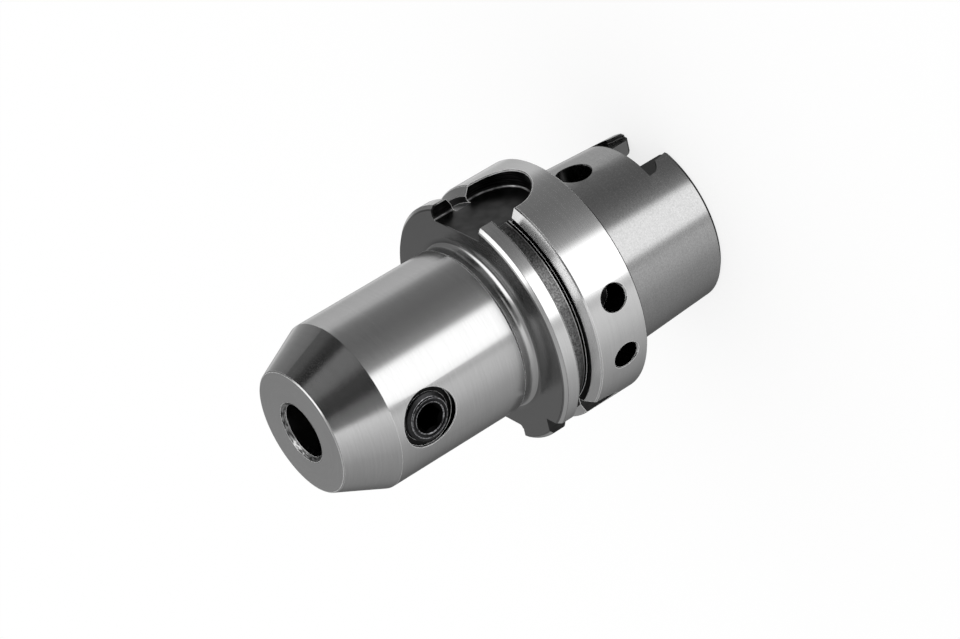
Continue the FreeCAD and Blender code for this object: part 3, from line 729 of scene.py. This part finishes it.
# Clamp screw. An M12 socket set screw with a flat point: rolled thread, hexagon socket, quenched and
# blackened in hot oil. Its point grips the flat of the cutter's shank, and it turns in the holder's thread.
SCREW_HEIGHT = 57.9
SCREW_FACE = 21.75
SCREW_TIP = 7.75
POINT_RADIUS = 4.5
POINT_EDGE = 0.2
POINT_END = 9.35
THREAD_CREST = 6.0
THREAD_ROOT = 5.05
THREAD_PITCH = 1.75
THREAD_START = POINT_END + THREAD_ROOT - POINT_RADIUS
END_CHAMFER_START = 21.25
END_CHAMFER_SLOPE = 1.9
FACE_GROOVE = (4.2, 4.55)
FACE_GROOVE_DEPTH = 0.25
SINK_RADIUS = 3.95
SOCKET_FLATS = 6.0
SOCKET_DEPTH = 6.5
DRILL_CONE = 0.6
SEGMENTS = 72
MERGE_DISTANCE = 0.002 * MM
SHARP_ANGLE = math.radians(25)

# Each ring of an end is its distance from the holder's axis and its radius. None marks the hexagon, with
# two corners along the holder.
FACE_GROOVE_FLOOR = SCREW_FACE - FACE_GROOVE_DEPTH
tip_rings = (
    (SCREW_TIP, POINT_RADIUS - POINT_EDGE),
    (SCREW_TIP + POINT_EDGE, POINT_RADIUS),
    (POINT_END, POINT_RADIUS),
    (THREAD_START, THREAD_ROOT),
)
face_rings = (
    (SCREW_FACE, THREAD_ROOT),
    (SCREW_FACE, FACE_GROOVE[1]),
    (FACE_GROOVE_FLOOR, FACE_GROOVE[1]),
    (FACE_GROOVE_FLOOR, FACE_GROOVE[0]),
    (SCREW_FACE, FACE_GROOVE[0]),
    (SCREW_FACE, SINK_RADIUS),
    (None, None),
    (SCREW_FACE - SOCKET_DEPTH, None),
)
vertices = []
polygons = []
for rings, centre in ((tip_rings, SCREW_TIP), (face_rings, SCREW_FACE - SOCKET_DEPTH - DRILL_CONE)):
    first = len(vertices)
    for distance, ring_radius in rings:
        for index in range(SEGMENTS):
            angle = math.tau * index / SEGMENTS
            from_flat = (angle - math.pi / 2) % (math.pi / 3) - math.pi / 6
            hexagon = SOCKET_FLATS / 2 / math.cos(from_flat)
            r = hexagon if ring_radius is None else ring_radius
            s = SCREW_FACE - SINK_RADIUS + hexagon if distance is None else distance
            vertices.append((r * math.cos(angle) * MM, -s * MM, (SCREW_HEIGHT + r * math.sin(angle)) * MM))
    for step in range(len(rings) - 1):
        for index in range(SEGMENTS):
            here = first + step * SEGMENTS + index
            after = first + step * SEGMENTS + (index + 1) % SEGMENTS
            polygons.append((here, after, after + SEGMENTS, here + SEGMENTS))
    vertices.append((0, -centre * MM, SCREW_HEIGHT * MM))
    closing = first if centre == SCREW_TIP else first + (len(rings) - 1) * SEGMENTS
    for index in range(SEGMENTS):
        polygons.append((closing + index, closing + (index + 1) % SEGMENTS, len(vertices) - 1))
screw_mesh = bpy.data.meshes.new("set_screw")
screw_mesh.from_pydata(vertices, [], polygons)
screw = bpy.data.objects.new("set_screw", screw_mesh)
bpy.context.scene.collection.objects.link(screw)

# Black oxide is a thin dark skin with a soft gloss. The socket is darkened with painted shade, and the rims
# of the face are rubbed through to the steel and brightened further with a painted highlight.
OXIDE = "#363637"
OXIDE_TONES = (0.8, 1.4)
OXIDE_ROUGHNESS = (0.30, 0.46)
OXIDE_RELIEF = 0.002
SOCKET_PAINTED_SHADE = 0.12
RIM_WEAR_AND_HIGHLIGHT_TONE = 14.0
RIM_HALF = 0.14
SOCKET_EDGE = 0.15
FACE_TURN = 0.6
SCRATCH_SPACING = 0.5
black = bpy.data.materials.new("black_oxide_steel")
black.use_nodes = True
tree = black.node_tree
tree.nodes.clear()
place = add(tree, "ShaderNodeTexCoord").outputs["Object"]
from_screw = add(
    tree,
    "ShaderNodeVectorMath",
    {0: place, 1: (0, 0, SCREW_HEIGHT * MM)},
    operation="SUBTRACT",
)
in_mm = add(tree, "ShaderNodeVectorMath", {0: from_screw, "Scale": 1 / MM}, operation="SCALE")
flat_part = add(tree, "ShaderNodeVectorMath", {0: in_mm, 1: (1, 0, 1)}, operation="MULTIPLY")
radius = add(tree, "ShaderNodeVectorMath", {0: flat_part}, operation="LENGTH").outputs["Value"]
face_rim = add(tree, "ShaderNodeMath", {0: radius, 1: THREAD_ROOT, 2: RIM_HALF}, operation="COMPARE")
sink_rim = add(tree, "ShaderNodeMath", {0: radius, 1: SINK_RADIUS, 2: RIM_HALF}, operation="COMPARE")
rims = add(tree, "ShaderNodeMath", {0: face_rim, 1: sink_rim}, operation="ADD")
facing = add(tree, "ShaderNodeNewGeometry").outputs["Normal"]
squareness = add(
    tree,
    "ShaderNodeVectorMath",
    {0: facing, 1: (0, -1, 0)},
    operation="DOT_PRODUCT",
).outputs["Value"]
on_face = add(tree, "ShaderNodeMath", {0: squareness, 1: FACE_TURN}, operation="GREATER_THAN")
rubbing = add(
    tree,
    "ShaderNodeTexNoise",
    {"Vector": in_mm, "Scale": 1 / SCRATCH_SPACING, "Detail": 3.0, "Roughness": 0.6},
)
rim_wear_and_highlight = add(tree, "ShaderNodeMapRange", {"Value": rubbing, "From Min": 0.35, "From Max": 0.6})
rim_wear_and_highlight = add(tree, "ShaderNodeMath", {0: rim_wear_and_highlight, 1: rims}, operation="MULTIPLY")
rim_wear_and_highlight = add(tree, "ShaderNodeMath", {0: rim_wear_and_highlight, 1: on_face}, operation="MULTIPLY")
in_socket = add(tree, "ShaderNodeMath", {0: radius, 1: SINK_RADIUS - SOCKET_EDGE}, operation="LESS_THAN")
oxide_tone = add(
    tree,
    "ShaderNodeMapRange",
    {
        "Value": rubbing,
        "From Min": NOISE_LOW,
        "From Max": NOISE_HIGH,
        "To Min": OXIDE_TONES[0],
        "To Max": OXIDE_TONES[1],
    },
)
oxide_tone = add(tree, "ShaderNodeMix", {"Factor": in_socket, "A": oxide_tone, "B": SOCKET_PAINTED_SHADE})
oxide_tone = add(tree, "ShaderNodeMix", {"Factor": rim_wear_and_highlight, "A": oxide_tone, "B": RIM_WEAR_AND_HIGHLIGHT_TONE})
oxide_colour = add(
    tree,
    "ShaderNodeVectorMath",
    {0: linear(OXIDE)[:3], "Scale": oxide_tone},
    operation="SCALE",
)
roughness = add(
    tree,
    "ShaderNodeMapRange",
    {"Value": rubbing, "To Min": OXIDE_ROUGHNESS[0], "To Max": OXIDE_ROUGHNESS[1]},
)
bump = add(tree, "ShaderNodeBump", {"Distance": OXIDE_RELIEF * MM, "Height": rubbing})
oxide = add(
    tree,
    "ShaderNodeBsdfPrincipled",
    {"Base Color": oxide_colour, "Metallic": 1.0, "Roughness": roughness, "Normal": bump},
)
add(tree, "ShaderNodeOutputMaterial", {"Surface": oxide})

# The thread is a grid wound round the screw: four rows to each turn, two on the crest and two in the root.
# It closes down to the root where it meets the two ends.
TURNS = 9
ROWS_A_TURN = 4
ROW_SHARES = (0.0, 0.125, 0.4375, 0.6875)
ROW_RADII = ("Crest Radius", "Crest Radius", "Root Radius", "Root Radius")
thread = bpy.data.node_groups.new("screw_thread", "GeometryNodeTree")
sizes = {
    "Pitch": THREAD_PITCH * MM,
    "Crest Radius": THREAD_CREST * MM,
    "Root Radius": THREAD_ROOT * MM,
    "Start": THREAD_START * MM,
    "End": SCREW_FACE * MM,
    "Chamfer Slope": END_CHAMFER_SLOPE,
    "Chamfer Start": END_CHAMFER_START * MM,
    "Height": SCREW_HEIGHT * MM,
}
thread.interface.new_socket("Ends", in_out="INPUT", socket_type="NodeSocketGeometry")
for name in sizes:
    thread.interface.new_socket(name, in_out="INPUT", socket_type="NodeSocketFloat")
thread.interface.new_socket("Turns", in_out="INPUT", socket_type="NodeSocketInt")
thread.interface.new_socket("Segments", in_out="INPUT", socket_type="NodeSocketInt")
thread.interface.new_socket("Finish", in_out="INPUT", socket_type="NodeSocketMaterial")
thread.interface.new_socket("Screw", in_out="OUTPUT", socket_type="NodeSocketGeometry")

given = thread.nodes.new("NodeGroupInput").outputs
columns = add(thread, "ShaderNodeMath", {0: given["Segments"], 1: 1.0}, operation="ADD")
rows = add(thread, "ShaderNodeMath", {0: given["Turns"], 1: ROWS_A_TURN}, operation="MULTIPLY")
grid = add(
    thread,
    "GeometryNodeMeshGrid",
    {"Size X": 1.0, "Size Y": 1.0, "Vertices X": columns, "Vertices Y": rows},
)
grid_place = add(thread, "ShaderNodeSeparateXYZ", {0: add(thread, "GeometryNodeInputPosition")})
share_round = add(thread, "ShaderNodeMath", {0: grid_place.outputs["X"], 1: 0.5}, operation="ADD")
share_up = add(thread, "ShaderNodeMath", {0: grid_place.outputs["Y"], 1: 0.5}, operation="ADD")
last_row = add(thread, "ShaderNodeMath", {0: rows, 1: 1.0}, operation="SUBTRACT")
row = add(thread, "ShaderNodeMath", {0: share_up, 1: last_row}, operation="MULTIPLY")
row = add(thread, "ShaderNodeMath", {0: row}, operation="ROUND")
row_in_turn = add(thread, "ShaderNodeMath", {0: row, 1: ROWS_A_TURN}, operation="MODULO")
full_turns = add(thread, "ShaderNodeMath", {0: row, 1: ROWS_A_TURN}, operation="DIVIDE")
full_turns = add(thread, "ShaderNodeMath", {0: full_turns}, operation="FLOOR")
share_of_pitch = add(thread, "GeometryNodeIndexSwitch", {"Index": row_in_turn}, data_type="FLOAT")
thread_radius = add(thread, "GeometryNodeIndexSwitch", {"Index": row_in_turn}, data_type="FLOAT")
for switch in (share_of_pitch, thread_radius):
    while len(switch.index_switch_items) < ROWS_A_TURN:
        switch.index_switch_items.new()
for number, share in enumerate(ROW_SHARES, 1):
    share_of_pitch.inputs[number].default_value = share
for number, name in enumerate(ROW_RADII, 1):
    thread.links.new(given[name], thread_radius.inputs[number])
turns_up = add(thread, "ShaderNodeMath", {0: full_turns, 1: share_of_pitch}, operation="ADD")
turns_up = add(thread, "ShaderNodeMath", {0: turns_up, 1: share_round}, operation="ADD")
turns_up = add(thread, "ShaderNodeMath", {0: turns_up, 1: 1.0}, operation="SUBTRACT")
free = add(
    thread,
    "ShaderNodeMath",
    {0: turns_up, 1: given["Pitch"], 2: given["Start"]},
    operation="MULTIPLY_ADD",
)
distance = add(thread, "ShaderNodeMath", {0: free, 1: given["Start"]}, operation="MAXIMUM")
distance = add(thread, "ShaderNodeMath", {0: distance, 1: given["End"]}, operation="MINIMUM")
from_start = add(thread, "ShaderNodeMath", {0: distance, 1: given["Start"]}, operation="SUBTRACT")
tip_limit = add(thread, "ShaderNodeMath", {0: given["Root Radius"], 1: from_start}, operation="ADD")
past_chamfer = add(thread, "ShaderNodeMath", {0: given["Chamfer Start"], 1: distance}, operation="SUBTRACT")
face_limit = add(
    thread,
    "ShaderNodeMath",
    {0: past_chamfer, 1: given["Chamfer Slope"], 2: given["Crest Radius"]},
    operation="MULTIPLY_ADD",
)
thread_radius = add(thread, "ShaderNodeMath", {0: thread_radius, 1: tip_limit}, operation="MINIMUM")
thread_radius = add(thread, "ShaderNodeMath", {0: thread_radius, 1: face_limit}, operation="MINIMUM")
angle = add(thread, "ShaderNodeMath", {0: share_round, 1: math.tau}, operation="MULTIPLY")
sideways = add(thread, "ShaderNodeMath", {0: angle}, operation="COSINE")
sideways = add(thread, "ShaderNodeMath", {0: sideways, 1: thread_radius}, operation="MULTIPLY")
upwards = add(thread, "ShaderNodeMath", {0: angle}, operation="SINE")
upwards = add(
    thread, "ShaderNodeMath", {0: upwards, 1: thread_radius, 2: given["Height"]}, operation="MULTIPLY_ADD"
)
forwards = add(thread, "ShaderNodeMath", {0: distance, 1: -1.0}, operation="MULTIPLY")
wound_place = add(thread, "ShaderNodeCombineXYZ", {"X": sideways, "Y": forwards, "Z": upwards})
wound = add(thread, "GeometryNodeSetPosition", {"Geometry": grid, "Position": wound_place})
whole = add(thread, "GeometryNodeJoinGeometry", {0: wound})
thread.links.new(given["Ends"], whole.inputs[0])
closed = add(thread, "GeometryNodeMergeByDistance", {"Geometry": whole, "Distance": MERGE_DISTANCE})
real = add(thread, "GeometryNodeRealizeInstances", {"Geometry": closed})
finished = add(thread, "GeometryNodeSetMaterial", {"Geometry": real, "Material": given["Finish"]})
thread.links.new(finished.outputs[0], thread.nodes.new("NodeGroupOutput").inputs[0])

winding = screw.modifiers.new("winding", "NODES")
winding.node_group = thread
values = {**sizes, "Turns": TURNS, "Segments": SEGMENTS, "Finish": black}
for item in thread.interface.items_tree:
    if item.in_out == "INPUT" and item.name in values:
        winding[item.identifier] = values[item.name]
evaluated = screw.evaluated_get(bpy.context.evaluated_depsgraph_get())
solid = bpy.data.meshes.new_from_object(evaluated)
screw.modifiers.clear()
screw.data = solid
shaping = bmesh.new()
shaping.from_mesh(solid)
bmesh.ops.remove_doubles(shaping, verts=shaping.verts, dist=MERGE_DISTANCE)
bmesh.ops.recalc_face_normals(shaping, faces=shaping.faces)
shaping.to_mesh(solid)
shaping.free()
solid.shade_smooth()
solid.set_sharp_from_angle(angle=SHARP_ANGLE)
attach(screw, "screw")
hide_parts("clamp_screw")


# Coolant tube and its slotted union nut, in the hollow of the shank. Both are turned from stainless bar, so
# fine rings run round them, and they are a little warmer and duller than the ground steel.
STAINLESS = "#B4B2AE"
RING_SPACING = 0.3
RING_TONES = (0.88, 1.08)
RING_ROUGHNESS = (0.22, 0.38)
RING_DEPTH = 0.003
RING_STRETCH = 0.4
turned_steel = bpy.data.materials.new("turned_stainless_steel")
turned_steel.use_nodes = True
tree = turned_steel.node_tree
tree.nodes.clear()
place = add(tree, "ShaderNodeTexCoord").outputs["Object"]
in_mm = add(tree, "ShaderNodeVectorMath", {0: place, "Scale": 1 / MM}, operation="SCALE")
height = add(tree, "ShaderNodeSeparateXYZ", {0: in_mm}).outputs["Z"]
flat_part = add(tree, "ShaderNodeVectorMath", {0: in_mm, 1: (1, 1, 0)}, operation="MULTIPLY")
radius = add(tree, "ShaderNodeVectorMath", {0: flat_part}, operation="LENGTH").outputs["Value"]
ring_place = add(tree, "ShaderNodeMath", {0: height, 1: radius}, operation="ADD")
rings = add(
    tree,
    "ShaderNodeTexNoise",
    {"W": ring_place, "Scale": 1 / RING_SPACING, "Detail": 2.0, "Roughness": 0.5},
    noise_dimensions="1D",
)
ring_tone = add(
    tree,
    "ShaderNodeMapRange",
    {
        "Value": rings,
        "From Min": NOISE_LOW,
        "From Max": NOISE_HIGH,
        "To Min": RING_TONES[0],
        "To Max": RING_TONES[1],
    },
)
turned_colour = add(
    tree,
    "ShaderNodeVectorMath",
    {0: linear(STAINLESS)[:3], "Scale": ring_tone},
    operation="SCALE",
)
roughness = add(
    tree,
    "ShaderNodeMapRange",
    {"Value": rings, "To Min": RING_ROUGHNESS[0], "To Max": RING_ROUGHNESS[1]},
)
bump = add(tree, "ShaderNodeBump", {"Distance": RING_DEPTH * MM, "Height": rings})
round_axis = add(tree, "ShaderNodeTangent", direction_type="RADIAL", axis="Z")
stainless = add(
    tree,
    "ShaderNodeBsdfPrincipled",
    {
        "Base Color": turned_colour,
        "Metallic": 1.0,
        "Roughness": roughness,
        "Anisotropic": RING_STRETCH,
        "Anisotropic Rotation": QUARTER_TURN,
        "Tangent": round_axis,
        "Normal": bump,
    },
)
add(tree, "ShaderNodeOutputMaterial", {"Surface": stainless})
for name in ("coolant_tube", "coolant_union_nut"):
    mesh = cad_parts[name].data
    mesh.materials.clear()
    mesh.materials.append(turned_steel)


# O-rings that seal and cradle the tube's collar. Moulded nitrile rubber: black, faintly grey where talc and
# oil have dried on it, with a satin sheen.
RUBBER = "#121213"
TALC = "#3A3A3A"
TALC_SIZE = 0.6
TALC_RELIEF = 0.01
RUBBER_ROUGHNESS = (0.42, 0.70)
RUBBER_IOR = 1.52
rubber = bpy.data.materials.new("moulded_nitrile_rubber")
rubber.use_nodes = True
tree = rubber.node_tree
tree.nodes.clear()
place = add(tree, "ShaderNodeTexCoord").outputs["Object"]
in_mm = add(tree, "ShaderNodeVectorMath", {0: place, "Scale": 1 / MM}, operation="SCALE")
talc = add(
    tree,
    "ShaderNodeTexNoise",
    {"Vector": in_mm, "Scale": 1 / TALC_SIZE, "Detail": 3.0, "Roughness": 0.6},
)
dusted = add(tree, "ShaderNodeMapRange", {"Value": talc, "From Min": 0.45, "From Max": 0.75})
rubber_colour = add(
    tree,
    "ShaderNodeMix",
    {"Factor": dusted, "A": linear(RUBBER), "B": linear(TALC)},
    data_type="RGBA",
).outputs["Result"]
roughness = add(
    tree,
    "ShaderNodeMapRange",
    {"Value": talc, "To Min": RUBBER_ROUGHNESS[0], "To Max": RUBBER_ROUGHNESS[1]},
)
bump = add(tree, "ShaderNodeBump", {"Distance": TALC_RELIEF * MM, "Height": talc})
nitrile = add(
    tree,
    "ShaderNodeBsdfPrincipled",
    {"Base Color": rubber_colour, "Roughness": roughness, "IOR": RUBBER_IOR, "Normal": bump},
)
add(tree, "ShaderNodeOutputMaterial", {"Surface": nitrile})
for name in ("seat_o_ring", "nut_o_ring"):
    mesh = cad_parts[name].data
    mesh.materials.clear()
    mesh.materials.append(rubber)
